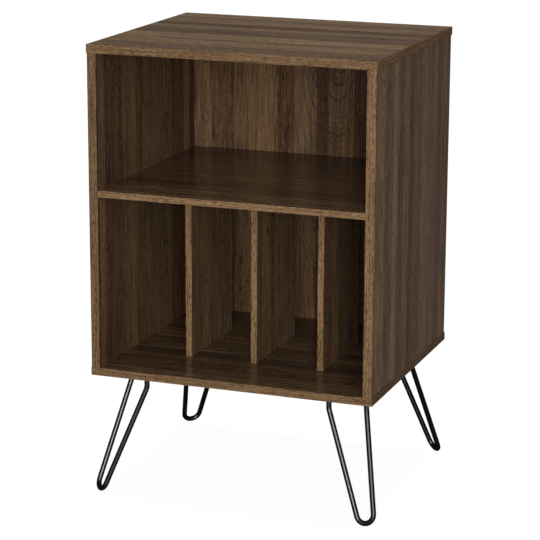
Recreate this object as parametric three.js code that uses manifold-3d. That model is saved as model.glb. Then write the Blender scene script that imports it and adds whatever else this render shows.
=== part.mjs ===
// Record storage stand: a flat-pack cabinet with one open deck above four record slots,
// carried by four welded hairpin legs.
// Millimetres, +Z up. The front faces -Y and the origin is on the floor under the middle.

import * as THREE from "three";
import { mergeVertices } from "three/addons/utils/BufferGeometryUtils.js";
import Module from "manifold-3d";

const wasm = await Module();
wasm.setup();

// ---- driving sizes ---------------------------------------------------------------------

const cabinetWidth = 547; // over the outer faces of the two sides
const cabinetDepth = 470; // front edge bands to the rear edge of the top and bottom
const legHeight = 230; // floor to the underside of the bottom panel
const recordSpace = 325; // clear height for twelve-inch sleeves
const deckSpace = 252; // clear height above the shelf

const topThickness = 16;
const bottomThickness = 15;
const sideThickness = 17;
const shelfThickness = 12;
const dividerThickness = 12;
const backThickness = 3;
const bandThickness = 1; // edge banding on the front edges and on the panel ends
const topOverhang = 0.5; // of the top board past each side, before its end band
const backMargin = 1; // the back panel stops this far inside each side's outer face

const dividerCount = 3;
const dividerDepth = 210; // the dividers stand midway between front and back

const rodDiameter = 10;
const legInset = 68; // leg axis to the bottom panel's two edges, at the plate
const footInset = 10; // middle of the foot to the same two edges, at the floor
const rodSpread = 76; // between the two rod ends at the plate
const footRadius = 17; // centreline of the bend that stands on the floor
const stubLength = 26; // the rod runs straight down this far before it leans out
const bendRun = 5; // how far the upper bend reaches along the rod on each side
const plateThickness = 3;
const stubMargin = 19; // plate edge to the nearer rod end
const screwRoom = 33; // plate beyond the farther rod end, for its outer screws
const plateBluntEnd = 24; // width of the plate where its pointed ends are cut off
const plateCornerRadius = 8;
const plateScrewInset = 13; // screw centres to the plate's two outer edges
const weldSize = 3; // how far the weld reaches along the rod and out over the plate
const weldToe = 0.3; // thickness of the weld where it ends on the rod

const clearance = 0.3; // all round whatever passes through or fits into a hole
const blindCover = 4; // board left beyond the end of a blind hole
const endGap = 1; // between the end of a dowel or a thread and the bottom of its hole
const camCover = 2.5; // board left behind a cam nut
const camSetback = 24; // board end to the middle of its cam nut
const sideCamDiameter = 15;
const shelfCamDiameter = 12;
const camInset = 60; // cam bolts to the front and rear of the board
const dowelInset = 110; // dowels to the front and rear of the board
const sideScrewInset = 85; // screws under each side to its front and rear
const dividerDowelInset = 35; // dowels to the front and rear of a divider
const thickDowel = 8; // diameter of the dowels in the ends of the sides
const thinDowel = 6; // diameter of those in the ends of the shelf and the dividers

const legScrew = { headRadius: 4.5, headHeight: 2.8, shankRadius: 2, length: 15, tip: 3 };
const sideScrew = {
  headRadius: 5,
  headHeight: 2.5,
  shankRadius: 3.5,
  threadRadius: 2.6,
  length: 50,
  tip: 3,
};
const dividerScrew = {
  headRadius: 4,
  headHeight: 2.2,
  shankRadius: 2.3,
  threadRadius: 1.9,
  length: 45,
  tip: 3,
};
const camBolt = {
  threadRadius: 2.2,
  shankRadius: 3,
  neckRadius: 1.6,
  neckLength: 6,
  headRadius: 2.7,
  headBevel: 0.9,
};

// Shares of the radius of the head that a driver's recess is cut into.
const crossSlot = { reach: 0.55, halfWidth: 0.13, depth: 0.35 };
const camSlot = { reach: 0.6, halfWidth: 0.16, depth: 0.2 };

// Facets round a circle, and steps along a bend.
const screwSides = 10;
const camSides = 16;
const rodSides = 12;
const upperBendSteps = 3;
const footSteps = 8;
const cornerSteps = 3;
const domeSteps = 2;

// ---- levels and faces that follow from them --------------------------------------------

const front = -cabinetDepth / 2;
const rear = cabinetDepth / 2;
const boardFront = front + bandThickness;
const backFace = rear - backThickness;
const outerFace = cabinetWidth / 2;
const innerFace = outerFace - sideThickness;
const sideMiddle = outerFace - sideThickness / 2;
const bottomEnd = outerFace + bandThickness;
const topBoardEnd = outerFace + topOverhang;

const slotFloor = legHeight + bottomThickness;
const shelfUnder = slotFloor + recordSpace;
const shelfTop = shelfUnder + shelfThickness;
const shelfMiddle = shelfUnder + shelfThickness / 2;
const topUnder = shelfTop + deckSpace;
const topFace = topUnder + topThickness;

const slotWidth = (2 * innerFace - dividerCount * dividerThickness) / (dividerCount + 1);
const rodRadius = rodDiameter / 2;
const stubOffset = rodSpread / 2 / Math.SQRT2; // rod end from the leg axis, along X and along Y
const plateNear = legInset - stubOffset - stubMargin;
const plateFar = legInset + stubOffset + screwRoom;
const plateUnder = legHeight - plateThickness;

const overshoot = 1; // how far a cutter runs past the face that it opens
const mergeDistance = 1e-4; // corners nearer than this are one corner

// ---- materials -------------------------------------------------------------------------

const finishes = {
  laminate: { color: 0x6a5a4a, roughness: 0.45, metalness: 0 },
  edgeBand: { color: 0x8b7358, roughness: 0.5, metalness: 0 },
  blackSteel: { color: 0x17181a, roughness: 0.38, metalness: 0.4 },
  blackScrew: { color: 0x202124, roughness: 0.4, metalness: 0.7 },
  zinc: { color: 0xa9abac, roughness: 0.35, metalness: 0.9 },
};

const stand = new THREE.Group();

function addPiece(name, geometry, finish) {
  const mesh = new THREE.Mesh(geometry, new THREE.MeshStandardMaterial(finishes[finish]));
  mesh.name = name;
  stand.add(mesh);
  return mesh;
}

// ---- solids ----------------------------------------------------------------------------

// A three.js geometry as a manifold solid: shared corners merged, flat triangles dropped.
function toSolid(geometry) {
  const bare = geometry.clone();
  bare.deleteAttribute("normal");
  bare.deleteAttribute("uv");
  const merged = mergeVertices(bare, mergeDistance);
  const index = merged.index.array;
  const triangles = [];
  for (let i = 0; i < index.length; i += 3) {
    const [a, b, c] = [index[i], index[i + 1], index[i + 2]];
    if (a !== b && b !== c && c !== a) triangles.push(a, b, c);
  }
  return new wasm.Manifold(new wasm.Mesh({
    numProp: 3,
    vertProperties: new Float32Array(merged.attributes.position.array),
    triVerts: new Uint32Array(triangles),
  }));
}

function toGeometry(solid) {
  const mesh = solid.getMesh();
  const geometry = new THREE.BufferGeometry();
  geometry.setAttribute("position", new THREE.BufferAttribute(mesh.vertProperties, 3));
  geometry.setIndex(new THREE.BufferAttribute(mesh.triVerts, 1));
  geometry.computeVertexNormals();
  return geometry;
}

// A block between two corners. Its corners take the given values unchanged, so that two
// blocks that share a face share it exactly.
function block(low, high) {
  const geometry = new THREE.BoxGeometry(1, 1, 1);
  const corners = geometry.attributes.position;
  for (let i = 0; i < corners.count; i++) {
    const pick = (axis, value) => (value > 0 ? high[axis] : low[axis]);
    corners.setXYZ(i, pick(0, corners.getX(i)), pick(1, corners.getY(i)), pick(2, corners.getZ(i)));
  }
  return geometry;
}

const cylinderAxis = new THREE.Vector3(0, 1, 0); // a cylinder geometry stands along Y

// A round bar from one point to another.
function bar(radius, from, to, sides = screwSides) {
  const start = new THREE.Vector3(...from);
  const run = new THREE.Vector3(...to).sub(start);
  const geometry = new THREE.CylinderGeometry(radius, radius, run.length(), sides);
  const turn = new THREE.Quaternion();
  geometry.applyQuaternion(turn.setFromUnitVectors(cylinderAxis, run.clone().normalize()));
  return geometry.translate(...start.addScaledVector(run, 0.5).toArray());
}

// A turned piece: [radius, height] pairs from the bottom of the axis to its top, about Z.
function turned(profile) {
  const points = profile.map(([radius, height]) => new THREE.Vector2(radius, height));
  return new THREE.LatheGeometry(points, screwSides).rotateX(Math.PI / 2);
}

// A blank with pieces joined to it and others cut from it.
function shape(blank, { joined = [], cut = [] }) {
  let solid = toSolid(blank);
  for (const geometry of joined) solid = solid.add(toSolid(geometry));
  for (const geometry of cut) solid = solid.subtract(toSolid(geometry));
  return toGeometry(solid);
}

const up = [0, 0, 1];
const down = [0, 0, -1];
const bothSides = [-1, 1];
const everyCorner = bothSides.flatMap((signY) => bothSides.map((signX) => [signX, signY]));
const nameX = (sign) => (sign < 0 ? "left" : "right");
const nameY = (sign) => (sign < 0 ? "front" : "rear");

// The front and rear places of a pair of fittings on a board as deep as the sides.
const pairAlongDepth = (inset) => [front + inset, backFace - inset];

// ---- screws, cam bolts, cam nuts and dowels --------------------------------------------

// Two crossed slots in a screw's head, which faces down at the given height.
function crossRecess(headRadius, height) {
  const reach = headRadius * crossSlot.reach;
  const half = headRadius * crossSlot.halfWidth;
  const depth = headRadius * crossSlot.depth;
  return [
    block([-reach, -half, height - overshoot], [reach, half, height + depth]),
    block([-half, -reach, height - overshoot], [half, reach, height + depth]),
  ];
}

// A screw with a domed head, which bears on the face at height 0 and hangs below it.
function domedScrew({ headRadius, headHeight, shankRadius, length, tip }) {
  const dome = Array.from({ length: domeSteps + 1 }, (_, i) => {
    const angle = (Math.PI / 2) * (i / domeSteps);
    return [headRadius * Math.sin(angle), -headHeight * Math.cos(angle)];
  });
  const shank = [[shankRadius, 0], [shankRadius, length - tip], [0, length]];
  return shape(turned([...dome, ...shank]), { cut: crossRecess(headRadius, -headHeight) });
}

// Outline of a countersunk screw from the flat of its head, at height 0, up to its point.
// Its shank passes through a board of the given thickness, and grow widens it all round.
function flatScrewOutline(screw, boardThickness, grow = 0) {
  const { headRadius, headHeight, shankRadius, threadRadius, length, tip } = screw;
  return [
    [headRadius + grow, 0],
    [shankRadius + grow, headHeight + grow],
    [shankRadius + grow, boardThickness],
    [threadRadius + grow, boardThickness],
    [threadRadius + grow, length + grow - tip],
    [0, length + grow],
  ];
}

function flatScrew(screw, boardThickness) {
  const solid = turned([[0, 0], ...flatScrewOutline(screw, boardThickness)]);
  return shape(solid, { cut: crossRecess(screw.headRadius, 0) });
}

// The hole for such a screw, open below the face at height z.
function flatScrewHole(screw, boardThickness, x, y, z) {
  const mouth = [[0, -overshoot], [screw.headRadius + clearance, -overshoot]];
  return turned([...mouth, ...flatScrewOutline(screw, boardThickness, clearance)]).translate(x, y, z);
}

// A cam bolt: its shoulder bears on the face at height 0, its thread goes up from there and
// its head hangs in the middle of the cam nut, at -camSetback.
function camBoltSolid(threadLength) {
  const { threadRadius, shankRadius, neckRadius, neckLength, headRadius, headBevel } = camBolt;
  const neckStart = -camSetback + headRadius;
  const neckEnd = neckStart + neckLength;
  return turned([
    [0, -camSetback - headRadius],
    [headRadius - headBevel, -camSetback - headRadius],
    [headRadius, -camSetback - headRadius + headBevel],
    [headRadius, neckStart - headBevel],
    [neckRadius, neckStart],
    [neckRadius, neckEnd],
    [shankRadius, neckEnd],
    [shankRadius, 0],
    [threadRadius, 0],
    [threadRadius, threadLength - threadRadius],
    [0, threadLength],
  ]);
}

// A cam nut: a stub cylinder whose face is at height 0 and whose body goes down from it. The
// bolt comes in along Y at boltDepth, through a channel that is open to the cylinder's wall.
function camNutSolid(diameter, length, boltDepth) {
  const radius = diameter / 2;
  const neck = camBolt.neckRadius + clearance;
  const room = camBolt.headRadius + clearance;
  const reach = radius * camSlot.reach;
  const half = radius * camSlot.halfWidth;
  return shape(bar(radius, [0, 0, -length], [0, 0, 0], camSides), {
    cut: [
      block([-neck, 0, -boltDepth - neck], [neck, radius + overshoot, -boltDepth + neck]),
      block([-room, -room, -boltDepth - room], [room, room, -boltDepth + room]),
      block([-reach, -half, -radius * camSlot.depth], [reach, half, overshoot]),
    ],
  });
}

const pilotDepth = (thickness) => thickness - blindCover;
const camDepth = (thickness) => thickness - camCover;
const alongFrom = (at, way, distance) => at.map((value, axis) => value + way[axis] * distance);

// A dowel glued into a board and standing out of its end face at a place, in the unit
// direction that is given, to enter a board of the given thickness.
function dowel(diameter, at, way, thickness) {
  const reach = pilotDepth(thickness) - endGap;
  return bar(diameter / 2, alongFrom(at, way, -reach), alongFrom(at, way, reach));
}

// A blind hole drilled into a board of the given thickness from a place on its face.
function blindHole(radius, at, way, thickness) {
  return bar(radius + clearance, alongFrom(at, way, -overshoot), alongFrom(at, way, pilotDepth(thickness)));
}

const dowelHole = (diameter, at, way, thickness) => blindHole(diameter / 2, at, way, thickness);
const boltPilot = (at, way, thickness) => blindHole(camBolt.threadRadius, at, way, thickness);

// The hole in a board's end that a cam bolt's shank lies in, as far as the cam nut's middle.
function boltHole(at, way) {
  const { shankRadius, headRadius } = camBolt;
  const inner = alongFrom(at, way, -camSetback - headRadius - clearance);
  return bar(shankRadius + clearance, inner, alongFrom(at, way, overshoot));
}

function camHole(diameter, at, way, thickness) {
  const inner = alongFrom(at, way, camDepth(thickness));
  return bar(diameter / 2 + clearance, alongFrom(at, way, -overshoot), inner, camSides);
}

// ---- where the fittings are ------------------------------------------------------------

const boardCams = pairAlongDepth(camInset);
const boardDowels = pairAlongDepth(dowelInset);
const sideScrews = pairAlongDepth(sideScrewInset);
const dividerDowels = bothSides.map((sign) => sign * (dividerDepth / 2 - dividerDowelInset));
const dividerMiddles = Array.from({ length: dividerCount }, (_, i) =>
  -innerFace + (i + 1) * slotWidth + (i + 0.5) * dividerThickness);

// Corner of the bottom panel that a leg belongs to, and a point at given insets from it.
const fromCorner = (signX, signY, insetX, insetY) =>
  [signX * (bottomEnd - insetX), signY * (cabinetDepth / 2 - insetY)];

function legScrewPlaces(signX, signY) {
  const near = plateNear + plateScrewInset;
  const far = plateFar - plateScrewInset;
  return [[near, near], [far, near], [near, far]].map(([x, y]) => fromCorner(signX, signY, x, y));
}

// ---- panels ----------------------------------------------------------------------------

function addTopPanel() {
  const cut = [];
  for (const sign of bothSides) {
    const x = sign * sideMiddle;
    for (const y of boardCams) cut.push(boltPilot([x, y, topUnder], up, topThickness));
    for (const y of boardDowels) cut.push(dowelHole(thickDowel, [x, y, topUnder], up, topThickness));
  }
  const board = block([-topBoardEnd, boardFront, topUnder], [topBoardEnd, rear, topFace]);
  addPiece("top_panel", shape(board, { cut }), "laminate");
}

function legPilots() {
  const radius = legScrew.shankRadius + clearance;
  const end = plateUnder + legScrew.length + clearance;
  return everyCorner.flatMap(([signX, signY]) => legScrewPlaces(signX, signY)
    .map(([x, y]) => bar(radius, [x, y, legHeight - overshoot], [x, y, end])));
}

function addBottomPanel() {
  const cut = legPilots();
  for (const sign of bothSides) {
    const x = sign * sideMiddle;
    for (const y of sideScrews) cut.push(flatScrewHole(sideScrew, bottomThickness, x, y, legHeight));
    for (const y of boardDowels) cut.push(dowelHole(thickDowel, [x, y, slotFloor], down, bottomThickness));
  }
  for (const x of dividerMiddles) {
    cut.push(flatScrewHole(dividerScrew, bottomThickness, x, 0, legHeight));
    for (const y of dividerDowels) cut.push(dowelHole(thinDowel, [x, y, slotFloor], down, bottomThickness));
  }
  const board = block([-outerFace, boardFront, legHeight], [outerFace, rear, slotFloor]);
  addPiece("bottom_panel", shape(board, { cut }), "laminate");
}

function addSidePanel(sign) {
  const joined = [];
  const cut = [];
  const outwards = [sign, 0, 0];
  const x = sign * sideMiddle;
  const inner = sign * innerFace;
  for (const y of boardDowels) {
    joined.push(dowel(thickDowel, [x, y, topUnder], up, topThickness));
    joined.push(dowel(thickDowel, [x, y, slotFloor], down, bottomThickness));
    cut.push(dowelHole(thinDowel, [inner, y, shelfMiddle], outwards, sideThickness));
  }
  for (const y of boardCams) {
    cut.push(boltHole([x, y, topUnder], up));
    cut.push(camHole(sideCamDiameter, [inner, y, topUnder - camSetback], outwards, sideThickness));
    cut.push(boltPilot([inner, y, shelfMiddle], outwards, sideThickness));
  }
  for (const y of sideScrews) cut.push(flatScrewHole(sideScrew, bottomThickness, x, y, legHeight));
  const outer = sign * outerFace;
  const low = [Math.min(inner, outer), boardFront, slotFloor];
  const high = [Math.max(inner, outer), backFace, topUnder];
  addPiece(`${nameX(sign)}_side_panel`, shape(block(low, high), { joined, cut }), "laminate");
}

function addShelf() {
  const joined = [];
  const cut = [];
  for (const sign of bothSides) {
    const outwards = [sign, 0, 0];
    const end = sign * innerFace;
    const cam = sign * (innerFace - camSetback);
    for (const y of boardDowels) {
      joined.push(dowel(thinDowel, [end, y, shelfMiddle], outwards, sideThickness));
    }
    for (const y of boardCams) {
      cut.push(boltHole([end, y, shelfMiddle], outwards));
      cut.push(camHole(shelfCamDiameter, [cam, y, shelfUnder], up, shelfThickness));
    }
  }
  for (const x of dividerMiddles) {
    for (const y of dividerDowels) cut.push(dowelHole(thinDowel, [x, y, shelfUnder], up, shelfThickness));
  }
  const board = block([-innerFace, boardFront, shelfUnder], [innerFace, backFace, shelfTop]);
  addPiece("middle_shelf", shape(board, { joined, cut }), "laminate");
}

function addDivider(x, i) {
  const joined = [];
  for (const y of dividerDowels) {
    joined.push(dowel(thinDowel, [x, y, shelfUnder], up, shelfThickness));
    joined.push(dowel(thinDowel, [x, y, slotFloor], down, bottomThickness));
  }
  const cut = [flatScrewHole(dividerScrew, bottomThickness, x, 0, legHeight)];
  const half = dividerThickness / 2;
  const edge = -dividerDepth / 2;
  const board = block([x - half, edge + bandThickness, slotFloor], [x + half, -edge, shelfUnder]);
  const band = block([x - half, edge, slotFloor], [x + half, edge + bandThickness, shelfUnder]);
  addPiece(`divider_${i + 1}`, shape(board, { joined, cut }), "laminate");
  addPiece(`divider_band_${i + 1}`, band, "edgeBand");
}

function addBackPanel() {
  const end = outerFace - backMargin;
  const board = block([-end, backFace, slotFloor], [end, rear, topUnder]);
  addPiece("back_panel", board, "laminate");
}

// ---- edge bands ------------------------------------------------------------------------

// Front band over the full width and one band on each end, for a panel that laps the sides.
function addLappedBands(name, boardEnd, low, high) {
  const end = boardEnd + bandThickness;
  addPiece(`${name}_band_front`, block([-end, front, low], [end, boardFront, high]), "edgeBand");
  addPiece(`${name}_band_left`, block([-end, boardFront, low], [-boardEnd, rear, high]), "edgeBand");
  addPiece(`${name}_band_right`, block([boardEnd, boardFront, low], [end, rear, high]), "edgeBand");
}

function addFrontBands() {
  addLappedBands("top", topBoardEnd, topUnder, topFace);
  addLappedBands("bottom", outerFace, legHeight, slotFloor);
  const band = (x0, x1, z0, z1) => block([x0, front, z0], [x1, boardFront, z1]);
  addPiece("left_side_band", band(-outerFace, -innerFace, slotFloor, topUnder), "edgeBand");
  addPiece("right_side_band", band(innerFace, outerFace, slotFloor, topUnder), "edgeBand");
  addPiece("shelf_band", band(-innerFace, innerFace, shelfUnder, shelfTop), "edgeBand");
}

// ---- hairpin legs ----------------------------------------------------------------------

// A curve that visits its stations in turn, so that an extrusion has one ring at each.
class StationCurve extends THREE.Curve {
  constructor(stations) {
    super();
    this.stations = stations;
  }

  getPoint(t, target = new THREE.Vector3()) {
    const place = t * (this.stations.length - 1);
    const i = Math.min(Math.floor(place), this.stations.length - 2);
    return target.lerpVectors(this.stations[i], this.stations[i + 1], place - i);
  }

  getUtoTmapping(u) {
    return u;
  }
}

// The foot of the rod as (across, along) pairs in the plane that the leg leans in, measured
// from the middle of its upper bends. The two straights run into this bend along its tangents.
function footBend(leanLength) {
  const middle = leanLength - footRadius;
  const half = rodSpread / 2;
  const start = Math.acos(footRadius / Math.hypot(half, middle)) - Math.atan2(middle, half);
  return Array.from({ length: footSteps + 1 }, (_, i) => {
    const angle = start + ((Math.PI - 2 * start) * i) / footSteps;
    return [footRadius * Math.cos(angle), middle + footRadius * Math.sin(angle)];
  });
}

// The rod's centreline from one end in the plate to the other.
function rodStations(signX, signY) {
  const bend = new THREE.Vector3(...fromCorner(signX, signY, legInset, legInset), legHeight - stubLength);
  const foot = new THREE.Vector3(...fromCorner(signX, signY, footInset, footInset), rodRadius);
  const along = foot.clone().sub(bend).normalize();
  const across = new THREE.Vector3(-signX, signY, 0).normalize();
  const inPlane = ([a, b]) => bend.clone().addScaledVector(across, a).addScaledVector(along, b);

  const upperBend = (side, next) => {
    const corner = inPlane([side * rodSpread / 2, 0]);
    const above = corner.clone().setZ(corner.z + bendRun);
    const below = corner.clone().addScaledVector(next.clone().sub(corner).normalize(), bendRun);
    const end = corner.clone().setZ(plateUnder + plateThickness / 2);
    return [end, ...new THREE.QuadraticBezierCurve3(above, corner, below).getPoints(upperBendSteps)];
  };
  const lower = footBend(bend.distanceTo(foot)).map(inPlane);
  return [...upperBend(1, lower[0]), ...lower, ...upperBend(-1, lower.at(-1)).reverse()];
}

// The bent rod, set down so that it just touches the floor.
function bentRod(signX, signY) {
  const stations = rodStations(signX, signY);
  const outline = Array.from({ length: rodSides }, (_, i) => {
    const angle = (2 * Math.PI * i) / rodSides;
    return new THREE.Vector2(rodRadius * Math.cos(angle), rodRadius * Math.sin(angle));
  });
  const rod = new THREE.ExtrudeGeometry(new THREE.Shape(outline), {
    steps: stations.length - 1,
    extrudePath: new StationCurve(stations),
    bevelEnabled: false,
  });
  rod.computeBoundingBox();
  return rod.translate(0, 0, -rod.boundingBox.min.z);
}

// A closed outline through the corners, each rounded off over the same length of its edges.
function roundedOutline(corners, length) {
  const outline = new THREE.Shape();
  const towards = (corner, other) => other.clone().sub(corner).setLength(length).add(corner);
  corners.forEach((corner, i) => {
    const before = towards(corner, corners.at(i - 1));
    const after = towards(corner, corners[(i + 1) % corners.length]);
    if (i === 0) outline.moveTo(before.x, before.y);
    else outline.lineTo(before.x, before.y);
    outline.quadraticCurveTo(corner.x, corner.y, after.x, after.y);
  });
  return outline;
}

// A triangular plate that fits the cabinet's corner, its two long ends cut off blunt.
function cornerPlate(signX, signY) {
  const blunt = plateNear + plateBluntEnd;
  const insets = [
    [plateNear, plateNear],
    [plateFar, plateNear],
    [plateFar, blunt],
    [blunt, plateFar],
    [plateNear, plateFar],
  ];
  const corners = insets.map(([x, y]) => new THREE.Vector2(...fromCorner(signX, signY, x, y)));
  const plate = new THREE.ExtrudeGeometry(roundedOutline(corners, plateCornerRadius), {
    depth: plateThickness,
    bevelEnabled: false,
    curveSegments: cornerSteps,
  });
  return plate.translate(0, 0, plateUnder);
}

// The fillet of weld round a rod where it meets the plate's underside.
function weld(x, y) {
  const fused = plateThickness / 2;
  return turned([
    [0, -weldSize],
    [rodRadius + weldToe, -weldSize],
    [rodRadius + weldSize, 0],
    [rodRadius + weldSize, fused],
    [0, fused],
  ]).translate(x, y, plateUnder);
}

function addLeg(signX, signY) {
  const name = `${nameY(signY)}_${nameX(signX)}`;
  const welds = bothSides.map((side) => {
    const offset = side * stubOffset;
    return weld(...fromCorner(signX, signY, legInset + offset, legInset - offset));
  });
  const screwPlaces = legScrewPlaces(signX, signY);
  const holes = screwPlaces.map(([x, y]) => {
    const radius = legScrew.shankRadius + clearance;
    return bar(radius, [x, y, plateUnder - overshoot], [x, y, legHeight + overshoot]);
  });
  const plate = shape(cornerPlate(signX, signY), { cut: holes });
  addPiece(`leg_${name}`, shape(plate, { joined: [bentRod(signX, signY), ...welds] }), "blackSteel");
  screwPlaces.forEach(([x, y], i) => {
    const screw = addPiece(`leg_screw_${name}_${i + 1}`, domedScrew(legScrew), "blackScrew");
    screw.position.set(x, y, plateUnder);
  });
}

// ---- fasteners inside the boards -------------------------------------------------------

function addSideScrews(sign) {
  sideScrews.forEach((y, i) => {
    const name = `side_screw_${nameX(sign)}_${nameY(bothSides[i])}`;
    const screw = addPiece(name, flatScrew(sideScrew, bottomThickness), "zinc");
    screw.position.set(sign * sideMiddle, y, legHeight);
  });
}

function addDividerScrew(x, i) {
  const screw = addPiece(`divider_screw_${i + 1}`, flatScrew(dividerScrew, bottomThickness), "zinc");
  screw.position.set(x, 0, legHeight);
}

const boltForBoard = (thickness) => camBoltSolid(pilotDepth(thickness) - endGap);
const nutForBoard = (diameter, thickness) =>
  camNutSolid(diameter, camDepth(thickness) - clearance, thickness / 2);

// Cam bolts screwed up into the top panel, and the cam nuts in the sides that pull on them.
function addTopCams(sign) {
  boardCams.forEach((y, i) => {
    const name = `${nameX(sign)}_${nameY(bothSides[i])}`;
    const bolt = addPiece(`top_cam_bolt_${name}`, boltForBoard(topThickness), "zinc");
    bolt.position.set(sign * sideMiddle, y, topUnder);
    const nut = addPiece(`top_cam_nut_${name}`, nutForBoard(sideCamDiameter, sideThickness), "zinc");
    nut.position.set(sign * innerFace, y, topUnder - camSetback);
    nut.rotation.set(Math.PI / 2, 0, -sign * Math.PI / 2, "ZXY");
  });
}

// Cam bolts screwed into the sides, and the cam nuts under the shelf.
function addShelfCams(sign) {
  boardCams.forEach((y, i) => {
    const name = `${nameX(sign)}_${nameY(bothSides[i])}`;
    const bolt = addPiece(`shelf_cam_bolt_${name}`, boltForBoard(sideThickness), "zinc");
    bolt.position.set(sign * innerFace, y, shelfMiddle);
    bolt.rotation.y = sign * Math.PI / 2;
    const nut = addPiece(`shelf_cam_nut_${name}`, nutForBoard(shelfCamDiameter, shelfThickness), "zinc");
    nut.position.set(sign * (innerFace - camSetback), y, shelfUnder);
    nut.rotation.set(Math.PI, 0, sign * Math.PI / 2, "ZXY");
  });
}

// ---- the stand -------------------------------------------------------------------------

addTopPanel();
addBottomPanel();
bothSides.forEach(addSidePanel);
addShelf();
dividerMiddles.forEach(addDivider);
addBackPanel();
addFrontBands();
everyCorner.forEach(([signX, signY]) => addLeg(signX, signY));
bothSides.forEach(addSideScrews);
dividerMiddles.forEach(addDividerScrew);
bothSides.forEach(addTopCams);
bothSides.forEach(addShelfCams);

export default stand;
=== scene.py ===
"""Record storage stand: a walnut-print cabinet on four hairpin legs.

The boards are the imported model's own. This script gives them their printed faces and raw
cores, and makes the edge banding, the bent legs, their plates and welds, the screws, the
nails of the back panel and the cover discs. Lengths in the tables are in millimetres, in the
model's frame: X to the right, Y to the rear, Z up from the floor.
"""

import math

import bmesh
import bpy
from mathutils import Matrix, Vector


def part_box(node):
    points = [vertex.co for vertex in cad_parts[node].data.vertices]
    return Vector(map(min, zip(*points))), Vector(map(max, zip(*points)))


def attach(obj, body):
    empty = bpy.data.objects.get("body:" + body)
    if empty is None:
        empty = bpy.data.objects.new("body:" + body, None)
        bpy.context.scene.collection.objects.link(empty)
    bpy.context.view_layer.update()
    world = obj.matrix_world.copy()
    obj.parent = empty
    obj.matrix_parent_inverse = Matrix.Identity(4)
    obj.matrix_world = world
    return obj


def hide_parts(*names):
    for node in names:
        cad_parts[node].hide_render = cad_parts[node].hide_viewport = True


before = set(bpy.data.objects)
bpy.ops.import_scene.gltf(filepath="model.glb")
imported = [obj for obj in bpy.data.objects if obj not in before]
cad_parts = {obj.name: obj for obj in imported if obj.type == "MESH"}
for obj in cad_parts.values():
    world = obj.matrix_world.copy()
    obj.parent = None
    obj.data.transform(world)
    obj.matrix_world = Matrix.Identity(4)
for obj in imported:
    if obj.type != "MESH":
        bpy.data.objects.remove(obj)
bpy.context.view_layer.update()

MM = 0.001
X, Y, Z = 0, 1, 2
AXES = (Vector((1, 0, 0)), Vector((0, 1, 0)), Vector((0, 0, 1)))
CORNERS = {
    "front_left": (-1, -1),
    "front_right": (1, -1),
    "rear_left": (-1, 1),
    "rear_right": (1, 1),
}

# ---- sizes -----------------------------------------------------------------------------

LEG_HEIGHT = 230
BOTTOM_END = 274.5  # bottom panel, middle to its banded ends
CABINET_FRONT = 235  # middle to the banded front edges, and to the rear
BAND_ROUNDING = 0.45  # radius along the banding's outer edges

ROD_RADIUS = 5
LEG_INSET = 68  # leg axis to the bottom panel's edges, at the plate
FOOT_INSET = 10  # middle of the foot to the same edges, at the floor
ROD_SPREAD = 76  # between the rod's two ends
FOOT_RADIUS = 17
UPPER_BEND_RADIUS = 24
STUB_LENGTH = 26
PLATE_THICKNESS = 3
PLATE_NEAR = 22.13  # insets of the mounting plate's edges
PLATE_FAR = 127.87
PLATE_BLUNT_END = 24
PLATE_CORNER = 4.8
PLATE_ROUNDING = 0.5
PLATE_HOLE = 2.3
PLATE_SCREWS = ((35.13, 35.13), (114.87, 35.13), (35.13, 114.87))
WELD_REACH = 3
WELD_BITE = 0.4  # how far the weld runs into the rod
WELD_ROOT = 0.5  # and into the plate
WELD_RIPPLE = 0.16
WELD_UNEVENNESS = 0.10
WELD_RIPPLES = 9  # humps in half a turn

ROD_SIDES = 28
TURNED_SIDES = 28
THREAD_SIDES = 14
WELD_SIDES = 72
SHARPEST_SMOOTH_EDGE = 35  # degrees

SCREWS = {
    "leg_screw": {
        "domed": True,
        "head": (4.5, 2.8),  # radius and height
        "shank": (1.8, 2.5),  # radius and length
        "core": 1.4,
        "thread": 2.0,
        "pitch": 1.6,
        "length": 15,
    },
    "side_screw": {
        "domed": False,
        "head": (5, 2.5),
        "shank": (3.5, 15),
        "core": 1.95,
        "thread": 2.6,
        "pitch": 2.8,
        "length": 50,
    },
    "divider_screw": {
        "domed": False,
        "head": (4, 2.2),
        "shank": (2.3, 15),
        "core": 1.35,
        "thread": 1.9,
        "pitch": 1.9,
        "length": 45,
    },
}
SCREW_TIP = 3
SCREW_RIM = 0.2  # every head is narrower by this at level 0
COUNTERSINK_RIM = 0.25  # height of the slanted rim round a countersunk head
SHANK_TAPER = 0.5  # height over which the shank narrows to the core
SCREW_TURN, FIRST_TURN = 37, 11  # degrees from one cross recess to the next, and of the first
RECESS = {"reach": 0.52, "half": 0.13, "depth": 0.42}  # shares of the head's radius
RECESS_TAPER = 0.62  # how much of its width is left at the bottom
THREAD_WIDTH = 0.3  # half of a thread's foot, as a share of the pitch
THREAD_ROOT = 0.1  # how far it runs into the core
THREAD_START = 0.8  # above the shank
THREAD_END = 0.2  # below the point, as a share of the tip
THREAD_POINT = 0.12  # share of its radius that is left at the point

NAIL_RADIUS = 1.9
NAIL_PROFILE = (  # radius as a share of the head's, and height above the back panel
    (0, 0.55),
    (0.5, 0.48),
    (0.85, 0.26),
    (1, 0),
    (0.9, -0.3),
    (0, -0.4),
)
NAIL_SIDE_LEVELS = (262, 354, 446, 538, 630, 722, 818)
NAIL_SHELF_PLACES = (-190, -95, 0, 95, 190)
SIDE_MIDDLE = 265  # middle of the stand to the middle of each side's thickness
SHELF_MIDDLE = 576  # level of the middle of the shelf's thickness

DISC_RADIUS = 8.8
DISC_THICKNESS = 0.3
DISC_CHAMFER = 0.25


# ---- the printed walnut ----------------------------------------------------------------

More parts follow.
